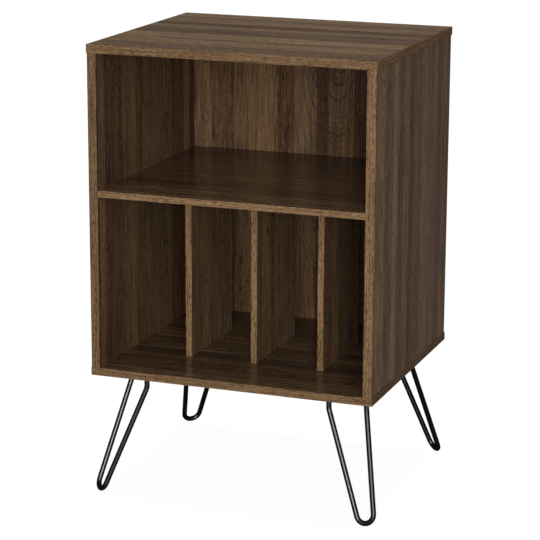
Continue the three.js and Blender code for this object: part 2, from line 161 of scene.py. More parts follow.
WALNUT = {  # colours of the strips in the print
    "pale": (0.170, 0.109, 0.061),
    "olive": (0.146, 0.093, 0.049),
    "tan": (0.138, 0.081, 0.040),
    "mid": (0.116, 0.070, 0.038),
    "grey": (0.101, 0.064, 0.041),
    "umber": (0.096, 0.054, 0.029),
    "purple": (0.080, 0.043, 0.029),
    "dark": (0.060, 0.034, 0.021),
}

BAND_BROWN = (0.206, 0.122, 0.061)
HARDBOARD_BROWN = (0.300, 0.188, 0.104)
RINGS_PER_METRE = 320.0
DARKEST_TONE = 0.25  # of the print, as a share of its strip's colour
DARKEST_BAND_TONE = 0.2

# Each board's strips, as (width, colour) or (width, colour, figure). A figure is
# (heart, slope, start, strength): the arches' middle across the board, where -1 and 1 are
# the strip's edges and it may lie beyond them, how fast they close along the board, where
# along it they begin, and how dark their lines are.
STRIPS = {
    "top": (
        (22, "grey"),
        (44, "mid"),
        (52, "olive", (0.2, 0.16, -0.32, 0.8)),
        (24, "mid"),
        (54, "pale"),
        (30, "umber"),
        (46, "grey", (-0.3, 0.22, -0.08, 0.9)),
        (30, "olive"),
        (38, "umber", (0.6, 0.1, 0.1, 0.7)),
        (52, "olive"),
        (27, "grey"),
        (60, "pale", (0.1, 0.2, 0.3, 0.7)),
    ),
    "right_side": (
        (11, "mid"),
        (46, "olive", (0.3, 0.10, 0.52, 1.0)),
        (26, "grey"),
        (20, "mid"),
        (25, "pale"),
        (12, "mid"),
        (27, "umber", (0.5, 0.12, 0.42, 0.9)),
        (36, "mid", (-0.6, 0.05, 0.3, 0.5)),
        (26, "purple", (0.1, 0.2, 0.6, 0.9)),
        (50, "umber"),
        (27, "tan"),
        (26, "mid"),
        (50, "grey", (0.4, 0.08, 0.7, 0.5)),
        (32, "purple"),
        (30, "mid"),
        (34, "umber"),
    ),
    "left_side": (
        # These first two strips, at the front edge, are print strips made dark to paint the shade
        # along the front of the wall, under the top.
        (5, "dark"),
        (29, "mid"),
        (22, "purple", (0.0, 0.14, 0.8, 0.9)),
        (58, "umber", (0.3, 0.16, 0.45, 1.0)),
        (22, "mid"),
        (40, "tan"),
        (30, "umber"),
        (36, "mid", (0.2, 0.08, 0.6, 0.6)),
        (44, "grey"),
        (62, "mid", (0.0, 0.10, 0.1, 1.0)),
        (60, "umber", (-0.4, 0.1, 0.5, 0.7)),
        (30, "tan"),
        (50, "purple"),
    ),
    "back": (
        (52, "tan", (0.5, 0.14, 0.7, 0.8)),
        (46, "umber"),
        (2, "dark"),
        (31, "mid", (0.2, 0.12, 0.75, 0.7)),
        (60, "tan"),
        (34, "umber", (0.0, 0.10, 0.8, 0.8)),
        (2, "dark"),
        (48, "mid", (1.5, 0.20, 0.95, 0.9)),
        (24, "dark"),
        (54, "mid", (-0.1, 0.24, 0.96, 1.0)),
        (24, "dark"),
        (47, "purple"),
        (34, "mid"),
        (44, "umber", (0.1, 0.18, 0.4, 0.9)),
        (60, "tan"),
    ),
    "shelf": (
        (13, "pale"),
        (7, "olive"),
        (10, "umber"),
        (40, "olive"),
        (66, "umber", (0.2, 0.12, -0.3, 0.9)),
        (3, "dark"),
        (40, "umber"),
        (34, "mid", (0.1, 0.2, 0.0, 0.8)),
        (36, "umber", (0.3, 0.06, 0.0, 0.4)),
        (46, "umber", (-0.2, 0.05, 0.2, 0.4)),
        # These last two strips, at the rear, are print strips made dark to paint the shade that
        # falls at the back of the shelf, under the top.
        (71, "purple"),
        (104, "dark"),
    ),
    "bottom": (
        (12, "pale"),
        (18, "olive"),
        (22, "umber"),
        (8, "mid"),
        (34, "umber", (0.2, 0.12, -0.3, 0.9)),
        (12, "purple"),
        (10, "tan"),
        (16, "umber"),
        (34, "dark"),
        (44, "mid"),
        (20, "umber"),
        (16, "dark"),
        (28, "tan", (0.1, 0.2, 0.0, 0.8)),
        (28, "mid"),
        (30, "umber"),
        (38, "purple"),
        # This last strip, at the rear, is a print strip made dark to paint the shade that falls at
        # the back of the bottom, under the shelf.
        (100, "dark"),
    ),
    "divider": (
        (26, "mid"),
        (22, "umber"),
        (44, "tan", (0.1, 0.14, 0.2, 0.9)),
        (22, "umber"),
        (34, "mid"),
        (30, "grey"),
        (34, "mid", (-0.2, 0.10, 0.5, 0.8)),
    ),
}


class NodeSheet:
    """A node tree under construction. Whatever feeds a node is a number, a colour or a socket."""

    def __init__(self, tree):
        self.tree = tree

    def feed(self, socket, value):
        if isinstance(value, bpy.types.NodeSocket):
            self.tree.links.new(value, socket)
        elif value is not None:
            socket.default_value = (*value, 1) if socket.type == "RGBA" else value

    def add(self, kind, *feeds, settings=None, **named):
        node = self.tree.nodes.new("ShaderNode" + kind)
        for key, value in (settings or {}).items():
            setattr(node, key, value)
        for socket, value in zip(node.inputs, feeds):
            self.feed(socket, value)
        for key, value in named.items():
            self.feed(node.inputs[key.replace("_", " ")], value)
        return node

    def math(self, operation, *values, clamp=False):
        settings = {"operation": operation, "use_clamp": clamp}
        return self.add("Math", *values, settings=settings).outputs[0]

    def total(self, *values):
        result = values[0]
        for value in values[1:]:
            result = self.math("ADD", result, value)
        return result

    def product(self, *values):
        result = values[0]
        for value in values[1:]:
            result = self.math("MULTIPLY", result, value)
        return result

    def vector(self, x=0.0, y=0.0, z=0.0):
        return self.add("CombineXYZ", x, y, z).outputs[0]

    def blend(self, amount, under, over):
        """The colour `over` laid on `under` by an amount from 0 to 1."""
        mix = self.add("Mix", settings={"data_type": "RGBA"})
        for index, value in ((0, amount), (6, under), (7, over)):
            self.feed(mix.inputs[index], value)
        return mix.outputs[2]

    def noise(self, place, scale=1.0, detail=2.0, roughness=0.5, distortion=0.0):
        node = self.add("TexNoise", Vector=place, Scale=scale, Detail=detail)
        self.feed(node.inputs["Roughness"], roughness)
        self.feed(node.inputs["Distortion"], distortion)
        return node.outputs[0]

    def swing(self, noise):
        """A noise from 0 to 1 as a number from about -1 to 1."""
        return self.math("MULTIPLY_ADD", noise, 2.0, -1.0)

    def span(self, value, low, high, to_low=0.0, to_high=1.0, smooth=False):
        way = "SMOOTHSTEP" if smooth else "LINEAR"
        settings = {"interpolation_type": way}
        node = self.add("MapRange", value, low, high, to_low, to_high, settings=settings)
        return node.outputs[0]

    def ramp(self, value, stops, interpolation="LINEAR"):
        node = self.add("ValToRGB", value)
        node.color_ramp.interpolation = interpolation
        elements = node.color_ramp.elements
        while len(elements) < len(stops):
            elements.new(1.0)
        for element, (position, colour) in zip(elements, stops):
            element.position = position
            element.color = colour if len(colour) == 4 else (*colour, 1)
        return node

    def bump(self, height, distance):
        return self.add("Bump", Height=height, Distance=distance, Strength=1.0).outputs[0]


class Group(NodeSheet):
    """A node group with named inputs and outputs, for the materials that share it."""

    def __init__(self, name, inputs, outputs):
        super().__init__(bpy.data.node_groups.new(name, "ShaderNodeTree"))
        for way, sockets in (("INPUT", inputs), ("OUTPUT", outputs)):
            for label, kind in sockets.items():
                self.tree.interface.new_socket(
                    name=label, in_out=way, socket_type="NodeSocket" + kind
                )
        self.given = self.tree.nodes.new("NodeGroupInput").outputs
        self.result = self.tree.nodes.new("NodeGroupOutput").inputs

    def give(self, **values):
        for key, value in values.items():
            self.feed(self.result[key], value)
        return self.tree


def shade(sheet, colour, factors):
    """A colour darkened or lightened, its green and blue a little faster than its red."""
    scale = sheet.vector(
        factors, sheet.math("POWER", factors, 1.1), sheet.math("POWER", factors, 1.16)
    )
    return sheet.add("VectorMath", colour, scale, settings={"operation": "MULTIPLY"}).outputs[0]


def walnut_print():
    """Walnut as it is printed on the boards: rings, fibres and pores on a strip's colour."""
    g = Group(
        "walnut_print",
        {
            "Along": "Float",
            "Across": "Float",
            "Strip": "Color",
            "Heart": "Float",
            "Slope": "Float",
            "Start": "Float",
            "Strength": "Float",
            "Boldness": "Float",
        },
        {"Colour": "Color", "Roughness": "Float", "Height": "Float"},
    )
    along, across = g.given["Along"], g.given["Across"]
    heart, slope = g.given["Heart"], g.given["Slope"]
    seed = g.math("MULTIPLY", heart, 37.0)

    def own(number):
        """A number from 0 to 1 that each strip has to itself."""
        draw = g.add("TexWhiteNoise", W=g.total(seed, number), settings={"noise_dimensions": "1D"})
        return draw.outputs[0]

    def stretched(per_metre_along, per_metre_across, sideways=across, **noise):
        place = g.vector(
            g.product(along, per_metre_along), g.product(sideways, per_metre_across), seed
        )
        return g.swing(g.noise(place, **noise))

    wander = stretched(5.0, 14.0, detail=2.0)
    ripple = stretched(22.0, 60.0, detail=2.0)

    # Rings cut by the board: their distance from the log's heart, counted in rings.
    depth = g.total(
        g.product(slope, g.math("SUBTRACT", along, g.given["Start"])),
        g.product(wander, 0.008),
        g.product(ripple, 0.0030),
    )
    offset = g.total(g.math("SUBTRACT", across, heart), g.product(wander, 0.006))
    distance = g.math("SQRT", g.total(g.product(depth, depth), g.product(offset, offset)))
    count = g.total(g.product(distance, RINGS_PER_METRE), g.product(stretched(3.0, 8.0), 2.6))
    ring = g.math("FRACT", count)
    year = g.add("TexWhiteNoise", W=g.math("FLOOR", count), settings={"noise_dimensions": "1D"})
    late_wood = g.product(
        g.span(ring, 0.20, 0.75, smooth=True),
        g.span(ring, 1.0, 0.85, smooth=True),
        g.math("MULTIPLY_ADD", year.outputs[0], 0.9, 0.25),
    )

    # The grain leans a little, each strip its own way, and wanders.
    lean = g.product(along, g.swing(own(3.1)), 0.05)
    grain_way = g.total(across, lean, g.product(wander, 0.006), g.product(ripple, 0.0012))

    blotches = stretched(4.0, 26.0, detail=2.0)
    bands = stretched(1.8, 75.0, grain_way, detail=3.0, roughness=0.65)
    patches = stretched(13.0, 90.0, grain_way, detail=2.0, roughness=0.6)
    streaks = stretched(6.0, 260.0, grain_way, detail=3.0, roughness=0.68)
    threads = stretched(9.0, 430.0, grain_way, detail=1.0)
    grain = stretched(110.0, 480.0, grain_way, detail=2.0, roughness=0.75)
    fibres = stretched(80.0, 1300.0, grain_way, detail=2.0, roughness=0.6)
    dashes = g.span(stretched(70.0, 520.0, grain_way, detail=1.0), 0.10, 0.32, smooth=True)
    glints = g.span(stretched(30.0, 460.0, grain_way, detail=1.0), -0.12, -0.36, smooth=True)
    pores = g.span(stretched(80.0, 1300.0, grain_way, detail=1.0), 0.20, 0.44, smooth=True)
    lines = g.product(late_wood, g.span(grain, -0.6, 0.3), g.given["Strength"])

    calm = g.span(g.given["Strength"], 0.6, 1.0, 1.0, 0.3)  # where arches are, few dashes
    figure = g.total(
        g.product(blotches, 0.26),
        g.product(bands, 0.36),
        g.product(patches, 0.30),
        g.product(streaks, 0.48),
        g.product(threads, 0.70),
        g.product(grain, g.span(calm, 0.3, 1.0, 0.5, 0.72)),
        g.product(fibres, 0.30),
        g.product(dashes, calm, g.span(own(7.7), 0.3, 1.0, 0.10, 0.85), -1.0),
        g.product(lines, -0.60),
        g.product(pores, -0.26),
    )
    shine = g.product(glints, g.span(own(5.3), 0.2, 1.0, 0.10, 0.60))
    tone = g.total(1.05, shine, g.product(figure, g.given["Boldness"]))
    warmth = g.product(g.total(patches, stretched(7.0, 60.0, detail=1.0)), 0.09)
    tint = g.vector(g.total(1.0, warmth), 1.0, g.math("SUBTRACT", 1.0, warmth))
    strip = g.add(
        "VectorMath", g.given["Strip"], tint, settings={"operation": "MULTIPLY"}
    ).outputs[0]
    colour = shade(g, strip, g.math("MAXIMUM", tone, DARKEST_TONE))
    height = g.total(g.product(pores, -1.0), g.product(fibres, 0.25), g.product(lines, -0.3))
    roughness = g.total(0.5, g.product(pores, 0.1), g.product(blotches, 0.04))
    return g.give(Colour=colour, Roughness=roughness, Height=height)


def chipboard():
    """The core of a board where it has been sawn or drilled: pressed chips and gaps."""
    g = Group("chipboard", {"Place": "Vector"}, {"Colour": "Color", "Height": "Float"})
    cells = g.add("TexVoronoi", Vector=g.given["Place"], Scale=420.0)
    chips = g.ramp(
        cells.outputs["Color"],
        (
            (0.0, (0.20, 0.125, 0.065)),
            (0.45, (0.36, 0.25, 0.14)),
            (1.0, (0.50, 0.37, 0.22)),
        ),
    ).outputs[0]
    gaps = g.span(g.noise(g.given["Place"], scale=900.0, detail=2.0), 0.60, 0.74)
    colour = g.blend(gaps, chips, (0.07, 0.04, 0.02))
    height = g.total(g.product(cells.outputs["Distance"], -0.6), g.product(gaps, -1.0))
    return g.give(Colour=colour, Height=height)


def hardboard():
    """The unprinted side of the back panel: brown fibres with the mark of the press's screen."""
    g = Group("hardboard", {"Place": "Vector"}, {"Colour": "Color", "Height": "Float"})
    place = g.given["Place"]
    x, _, z = g.add("SeparateXYZ", place).outputs
    fibres = g.noise(place, scale=700.0, detail=3.0, roughness=0.7)
    clouds = g.noise(place, scale=14.0, detail=3.0)
    flecks = g.span(g.noise(place, scale=260.0, detail=2.0), 0.66, 0.74)
    weave = g.product(
        g.math("SINE", g.product(x, 2600.0)), g.math("SINE", g.product(z, 2600.0))
    )
    tone = g.total(
        0.62, g.product(fibres, 0.45), g.product(clouds, 0.35), g.product(weave, 0.05)
    )
    colour = shade(g, HARDBOARD_BROWN, tone)
    colour = g.blend(g.product(flecks, 0.6), colour, (0.09, 0.05, 0.028))
    return g.give(Colour=colour, Height=g.total(g.product(weave, 0.6), fibres))


def handling():
    """Faint rubbed patches, which change how a surface shines and hardly its colour."""
    g = Group("handling", {"Place": "Vector", "Size": "Float"}, {"Rubbed": "Float"})
    cloud = g.noise(g.given["Place"], scale=g.given["Size"], detail=4.0, roughness=0.62)
    return g.give(Rubbed=g.span(cloud, 0.42, 0.72, smooth=True))


GROUPS = {
    make.__name__: make() for make in (walnut_print, chipboard, hardboard, handling)
}


class Finish(NodeSheet):
    """A material: its nodes, and the surface that they end in."""

    def __init__(self, name, **surface):
        self.material = bpy.data.materials.new(name)
        self.material.use_nodes = True
        super().__init__(self.material.node_tree)
        self.surface = self.tree.nodes["Principled BSDF"]
        self.place = self.add("TexCoord").outputs["Object"]
        self.coat(**surface)

    def coat(self, **surface):
        for key, value in surface.items():
            self.feed(self.surface.inputs[key.replace("_", " ")], value)

    def use(self, group, **feeds):
        node = self.add("Group", settings={"node_tree": GROUPS[group]})
        for key, value in feeds.items():
            self.feed(node.inputs[key], value)
        return node.outputs

    def axis(self, index):
        return self.add("SeparateXYZ", self.place).outputs[index]


HEART_ROOM = 0.3  # how far outside the board a strip's heart may lie


def strip_stops(strips, start, depth):
    """Colours and figures of a board's strips, as stops of two constant ramps."""
    width = sum(strip[0] for strip in strips)
    colours, figures, edge = [], [], 0
    for number, strip in enumerate(strips):
        wide, colour = strip[:2]
        middle = edge + wide / 2
        if len(strip) > 2:
            heart, slope, begin, strength = strip[2]
            heart = middle + heart * wide / 2
        else:
            side = 1 if number % 2 else -1
            heart, slope, begin, strength = middle + side * (70 + wide), 0.03, 0, 0.35
        heart = (start + heart * MM + 2 * HEART_ROOM) / (4 * HEART_ROOM)
        colours.append((edge / width, [depth * channel for channel in WALNUT[colour]]))
        figures.append((edge / width, (heart, slope, (begin + 1) / 2, strength)))
        edge += wide
    return colours, figures, width * MM


def within(sheet, value, low, high):
    """1 where a coordinate lies between two levels, else 0."""
    above = sheet.math("GREATER_THAN", value, low)
    return sheet.product(above, sheet.math("LESS_THAN", value, high))


SKIN = 0.15 * MM  # thickness of the print and its paper
BOARD_SURFACE = {
    "IOR": 1.45,
    "Specular_IOR_Level": 0.0,
    "Coat_Roughness": 0.2,
}


def laminate(
    name, strips, along, across, thickness, node, shift=0.0, depth=1.0, gloss=0.05, boldness=1.0
):
    """A printed board. Its strips lie side by side across it, from the front or the left. Its
    depth darkens or lightens the print, which the boards use to paint light and shade.
    """
    finish = Finish(name, **BOARD_SURFACE, Coat_Weight=gloss)
    low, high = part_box(node)
    start = low[across] - shift
    colours, figures, width = strip_stops(STRIPS[strips], start, depth)
    position = finish.span(finish.axis(across), start, start + width)
    colour = finish.ramp(position, colours, "CONSTANT")
    figure = finish.ramp(position, figures, "CONSTANT")
    heart, slope, begin = finish.add("SeparateColor", figure.outputs[0]).outputs
    heart = finish.math("MULTIPLY_ADD", heart, 4 * HEART_ROOM, -2 * HEART_ROOM)
    wood = finish.use(
        "walnut_print",
        Along=finish.axis(along),
        Across=finish.axis(across),
        Strip=colour.outputs[0],
        Heart=heart,
        Slope=slope,
        Start=finish.math("MULTIPLY_ADD", begin, 2.0, -1.0),
        Strength=figure.outputs[1],
        Boldness=boldness,
    )
    core = within(finish, finish.axis(thickness), low[thickness] + SKIN, high[thickness] - SKIN)
    chips = finish.use("chipboard", Place=finish.place)
    rubbed = finish.use("handling", Place=finish.place, Size=9.0)["Rubbed"]
    roughness = finish.total(wood["Roughness"], finish.product(rubbed, -0.06))
    height = finish.blend(core, wood["Height"], chips["Height"])
    finish.coat(
        Base_Color=finish.blend(core, wood["Colour"], chips["Colour"]),
        Roughness=finish.math("MAXIMUM", roughness, finish.product(core, 0.85)),
        Normal=finish.bump(height, 0.00006),
    )
    return finish


def printed_board(*args, **kwargs):
    return laminate(*args, **kwargs).material


def back_panel_finish():
    """The back panel: printed towards the compartments, bare hardboard behind."""
    finish = laminate("back_panel_print", "back", Z, X, Y, "back_panel")
    low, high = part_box("back_panel")
    rear = finish.math("GREATER_THAN", finish.axis(Y), high[Y] - SKIN)
    bare = finish.use("hardboard", Place=finish.place)
    printed = finish.surface.inputs["Base Color"].links[0].from_socket
    shine = finish.surface.inputs["Roughness"].links[0].from_socket
    finish.coat(
        Base_Color=finish.blend(rear, printed, bare["Colour"]),
        Roughness=finish.math("MAXIMUM", shine, finish.product(rear, 0.75)),
    )
    return finish.material


def edge_banding(name, along, across, depth=1.0, gloss=0.08):
    """The banding's own print: warm brown with fine dark dashes along its length. Its depth makes
    each copy darker or lighter, to paint the light and shade on that band.
    """
    finish = Finish(
        name, IOR=1.46, Specular_IOR_Level=0.0, Coat_Weight=gloss, Coat_Roughness=0.3
    )
    length, width = finish.axis(along), finish.axis(across)

    def stretched(per_metre_along, per_metre_across, **noise):
        place = finish.vector(
            finish.product(length, per_metre_along), finish.product(width, per_metre_across)
        )
        return finish.noise(place, **noise)

    dashes = finish.span(stretched(95.0, 640.0, detail=1.0), 0.42, 0.60, smooth=True)
    threads = finish.swing(stretched(9.0, 500.0, detail=2.0, roughness=0.75))
    ticks = finish.span(stretched(180.0, 1100.0, detail=1.0), 0.50, 0.64, smooth=True)
    clouds = finish.swing(stretched(14.0, 60.0, detail=2.0))
    tone = finish.total(
        1.38,
        finish.product(dashes, -0.62),
        finish.product(threads, 1.35),
        finish.product(ticks, -0.26),
        finish.product(clouds, 0.12),
    )
    base = [depth * channel for channel in BAND_BROWN]
    colour = shade(finish, base, finish.math("MAXIMUM", tone, DARKEST_BAND_TONE))
    finish.coat(
        Base_Color=colour,
        Roughness=finish.math("MULTIPLY_ADD", dashes, 0.12, 0.46),
        Normal=finish.bump(finish.total(finish.product(dashes, -1.0), threads), 0.00004),
    )
    return finish.material


def black_lacquer(name):
    """Stoved black on the rods and plates, a little rough like fine orange peel.

    Its gloss is strongest where it faces the viewer, so the rods keep their black outlines.
    """
    finish = Finish(name, Specular_IOR_Level=0.0, Coat_IOR=1.6, Coat_Roughness=0.22)
    facing_away = finish.add("LayerWeight", 0.5).outputs["Facing"]
    peel = finish.noise(finish.place, scale=900.0, detail=2.0)
    clouds = finish.noise(finish.place, scale=60.0, detail=3.0)
    rubbed = finish.use("handling", Place=finish.place, Size=40.0)["Rubbed"]
    floor_rub = finish.span(finish.axis(Z), 0.0016, 0.0002)
    worn = finish.product(floor_rub, finish.span(clouds, 0.35, 0.6))
    lacquer = finish.blend(rubbed, (0.0050, 0.0050, 0.0055), (0.009, 0.009, 0.010))
    finish.coat(
        Coat_Weight=finish.span(facing_away, 0.14, 0.01, smooth=True),
        Base_Color=finish.blend(worn, lacquer, (0.10, 0.10, 0.10)),
        Roughness=finish.total(0.16, finish.product(clouds, 0.08), finish.product(rubbed, 0.06)),
        Normal=finish.bump(peel, 0.00003),
    )
    return finish.material


def plated(name, colour, rough):
    """Zinc plating or black oxide on screws, nails and cam fittings."""
    finish = Finish(name)
    grain = finish.noise(finish.place, scale=1600.0, detail=3.0, roughness=0.7)
    clouds = finish.noise(finish.place, scale=300.0, detail=3.0)
    tone = finish.total(0.72, finish.product(clouds, 0.35), finish.product(grain, 0.2))
    finish.coat(
        Base_Color=shade(finish, colour, tone),
        Metallic=finish.math("MULTIPLY_ADD", grain, 0.1, 0.88),
        Roughness=finish.math("MULTIPLY_ADD", clouds, 0.22, rough),
        Normal=finish.bump(grain, 0.00002),
    )
    return finish.material


def disc_film(name):
    """The stick-on discs over the cam nuts, printed to match the boards."""
    finish = Finish(name, IOR=1.46, Specular_IOR_Level=0.15)
    y, z = finish.axis(Y), finish.axis(Z)
    place = finish.vector(finish.product(y, 700.0), finish.product(z, 14.0))
    fibres = finish.swing(finish.noise(place, detail=3.0, roughness=0.6))
    tone = finish.math("MULTIPLY_ADD", fibres, 0.3, 1.0)
    finish.coat(
        Base_Color=shade(finish, WALNUT["umber"], tone),
        Roughness=finish.math("MULTIPLY_ADD", fibres, 0.08, 0.5),
        Normal=finish.bump(fibres, 0.00002),
    )
    return finish.material


# The depths paint light and shade into the boards' copies of the print: the top is lighter as
# painted light from above, the right side darker as painted shade, and the shelf, the left side
# and the dividers lighter as painted light inside the compartments.
BOARDS = {
    "top_panel": printed_board("top_print", "top", X, Y, Z, "top_panel", depth=1.12),
    "bottom_panel": printed_board(
        "bottom_print", "bottom", X, Y, Z, "bottom_panel", gloss=0.9, boldness=1.5
    ),
    "middle_shelf": printed_board(
        "shelf_print", "shelf", X, Y, Z, "middle_shelf", depth=1.06, gloss=0.9, boldness=1.5
    ),
    "left_side_panel": printed_board(
        "left_side_print", "left_side", Z, Y, X, "left_side_panel", depth=1.08
    ),
    "right_side_panel": printed_board(
        "right_side_print", "right_side", Z, Y, X, "right_side_panel", depth=0.9
    ),
    "back_panel": back_panel_finish(),
    **{
        f"divider_{i}": printed_board(
            f"divider_{i}_print", "divider", Z, Y, X, f"divider_{i}", shift=MM * offset, depth=1.1
        )
        for i, offset in ((1, 0), (2, 22), (3, 8))
    },
}
# The banding is one material. Each copy's depth paints the light and shade it gets: the end bands
# are darkest, as painted shade on the ends turned away from the light, the left upright's band is
# darker than the right's, and the shelf's and dividers' bands are lighter than the front bands of
# the top and bottom.
BAND_ALONG_X = edge_banding("edge_band_along_x", X, Z, depth=0.70)
SHELF_BAND = edge_banding("shelf_edge_band", X, Z, depth=0.89)
END_BANDS_PAINTED_SHADE = {
    "top": edge_banding("top_end_band_painted_shade", Y, Z, depth=0.54, gloss=0.02),
    "bottom": edge_banding("bottom_end_band_painted_shade", Y, Z, depth=0.40, gloss=0.02),
}
DIVIDER_BAND = edge_banding("divider_edge_band", Z, X, depth=0.89)
UPRIGHT_BANDS = {
    "left_side_band": edge_banding("left_edge_band", Z, X, depth=0.61),
    "right_side_band": edge_banding("right_edge_band", Z, X, depth=0.80),
    **{f"divider_band_{i}": DIVIDER_BAND for i in (1, 2, 3)},
}
BLACK_LACQUER = black_lacquer("black_lacquer")
BLACK_OXIDE = plated("black_oxide", (0.045, 0.045, 0.048), 0.26)
ZINC = plated("zinc_plating", (0.60, 0.61, 0.63), 0.22)
DISC_FILM = disc_film("disc_film")

for name, finish in BOARDS.items():
    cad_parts[name].data.materials.clear()
    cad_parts[name].data.materials.append(finish)
for name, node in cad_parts.items():
    if "_cam_" in name:
        node.data.materials.clear()
        node.data.materials.append(ZINC)


# ---- making pieces ---------------------------------------------------------------------


def piece(name, bm, material, replaces=(), faces_settled=False):
    """Turns a bmesh drawn in millimetres into a piece that rides with the stand."""
    if not faces_settled:
        bmesh.ops.recalc_face_normals(bm, faces=bm.faces)
    bmesh.ops.transform(bm, matrix=Matrix.Scale(MM, 4), verts=bm.verts)
    mesh = bpy.data.meshes.new(name)
    bm.to_mesh(mesh)
    bm.free()
    mesh.materials.append(material)
    mesh.shade_smooth()
    mesh.set_sharp_from_angle(angle=math.radians(SHARPEST_SMOOTH_EDGE))
    made = bpy.data.objects.new(name, mesh)
    bpy.context.scene.collection.objects.link(made)
    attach(made, "root")
    if replaces:
        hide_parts(*replaces)
    return made


def block(low, high):
    bm = bmesh.new()
    size = Matrix.Diagonal([b - a for a, b in zip(low, high)]).to_4x4()
    middle = Matrix.Translation([(a + b) / 2 for a, b in zip(low, high)])
    bmesh.ops.create_cube(bm, size=1, matrix=middle @ size)
    return bm


def round_off(bm, edges, radius, segments=3):
    bmesh.ops.bevel(
        bm,
        geom=edges,
        offset=radius,
        offset_type="OFFSET",
        segments=segments,
        profile=0.5,
        affect="EDGES",
        material=-1,
        clamp_overlap=True,
    )


def turned(bm, profile, steps=TURNED_SIDES, at=(0, 0, 0)):
    """Turns a profile of (radius, height) pairs about a vertical axis through `at`."""
    at = Vector(at)
    verts = [bm.verts.new(at + Vector((radius, 0, height))) for radius, height in profile]
    edges = [bm.edges.new(pair) for pair in zip(verts, verts[1:])]
    bmesh.ops.spin(
        bm,
        geom=verts + edges,
        cent=at,
        axis=AXES[Z],
        angle=math.tau,
        steps=steps,
        use_merge=True,
    )
    bmesh.ops.remove_doubles(bm, verts=bm.verts, dist=0.0005)


def facing(direction, at=(0, 0, 0)):
    """Turns what was drawn upright until it faces a direction, and sets it down."""
    turn = Vector(direction).to_track_quat("Z", "Y").to_matrix().to_4x4()
    return Matrix.Translation(at) @ turn


def carve(bm, tool):
    """Cuts one closed shape out of another."""
    objects = []
    for part in (bm, tool):
        bmesh.ops.recalc_face_normals(part, faces=part.faces)
        mesh = bpy.data.meshes.new("blank")
        part.to_mesh(mesh)
        part.free()
        objects.append(bpy.data.objects.new("blank", mesh))
        bpy.context.scene.collection.objects.link(objects[-1])
    body, knife = objects
    cut = body.modifiers.new("cut", "BOOLEAN")
    cut.operation, cut.solver, cut.object = "DIFFERENCE", "EXACT", knife
    result = bmesh.new()
    result.from_mesh(body.evaluated_get(bpy.context.evaluated_depsgraph_get()).data)
    for blank in objects:
        mesh = blank.data
        bpy.data.objects.remove(blank)
        bpy.data.meshes.remove(mesh)
    return result


# ---- edge banding ----------------------------------------------------------------------


def edge_band(node, outward, material):
    """A strip of banding. The edges of its outer face are rounded."""
    low, high = (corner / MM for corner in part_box(node))
    bm = block(low, high)
    way = AXES[abs(outward) - 1] * (1 if outward > 0 else -1)
    outer = max(bm.faces, key=lambda face: face.calc_center_median().dot(way))
    round_off(bm, list(outer.edges), BAND_ROUNDING)
    piece(f"banding_{node}", bm, material, [node])


TOWARDS_FRONT, TOWARDS_LEFT, TOWARDS_RIGHT = -2, -1, 1

# The end bands get the darker copies of the banding, which paint shade on the ends.
for board in ("top", "bottom"):
    edge_band(f"{board}_band_front", TOWARDS_FRONT, BAND_ALONG_X)
    edge_band(f"{board}_band_left", TOWARDS_LEFT, END_BANDS_PAINTED_SHADE[board])
    edge_band(f"{board}_band_right", TOWARDS_RIGHT, END_BANDS_PAINTED_SHADE[board])
edge_band("shelf_band", TOWARDS_FRONT, SHELF_BAND)
for upright, finish in UPRIGHT_BANDS.items():
    edge_band(upright, TOWARDS_FRONT, finish)


# ---- hairpin legs ----------------------------------------------------------------------


def from_corner(corner, inset_x, inset_y):
    sign_x, sign_y = CORNERS[corner]
    return sign_x * (BOTTOM_END - inset_x), sign_y * (CABINET_FRONT - inset_y)


def rod_corners(corner):
    """The rod's centreline as straight runs that meet in (point, bend radius) corners."""
    bend = Vector((*from_corner(corner, LEG_INSET, LEG_INSET), LEG_HEIGHT - STUB_LENGTH))
    foot = Vector((*from_corner(corner, FOOT_INSET, FOOT_INSET), ROD_RADIUS))
    along = (foot - bend).normalized()
    sign_x, sign_y = CORNERS[corner]
    across = Vector((-sign_x, sign_y, 0)).normalized()
    half = ROD_SPREAD / 2
    middle = (foot - bend).length - FOOT_RADIUS
    lean = math.acos(FOOT_RADIUS / math.hypot(half, middle)) - math.atan2(middle, half)
    apex = bend + along * (middle + FOOT_RADIUS / math.sin(lean))
    plate_level = LEG_HEIGHT - PLATE_THICKNESS / 2
    runs = []
    for side in (1, -1):
        top = bend + across * side * half
        runs.append([(top.xy.to_3d() + AXES[Z] * plate_level, 0), (top, UPPER_BEND_RADIUS)])
    return [*runs[0], (apex, FOOT_RADIUS), *reversed(runs[1])]


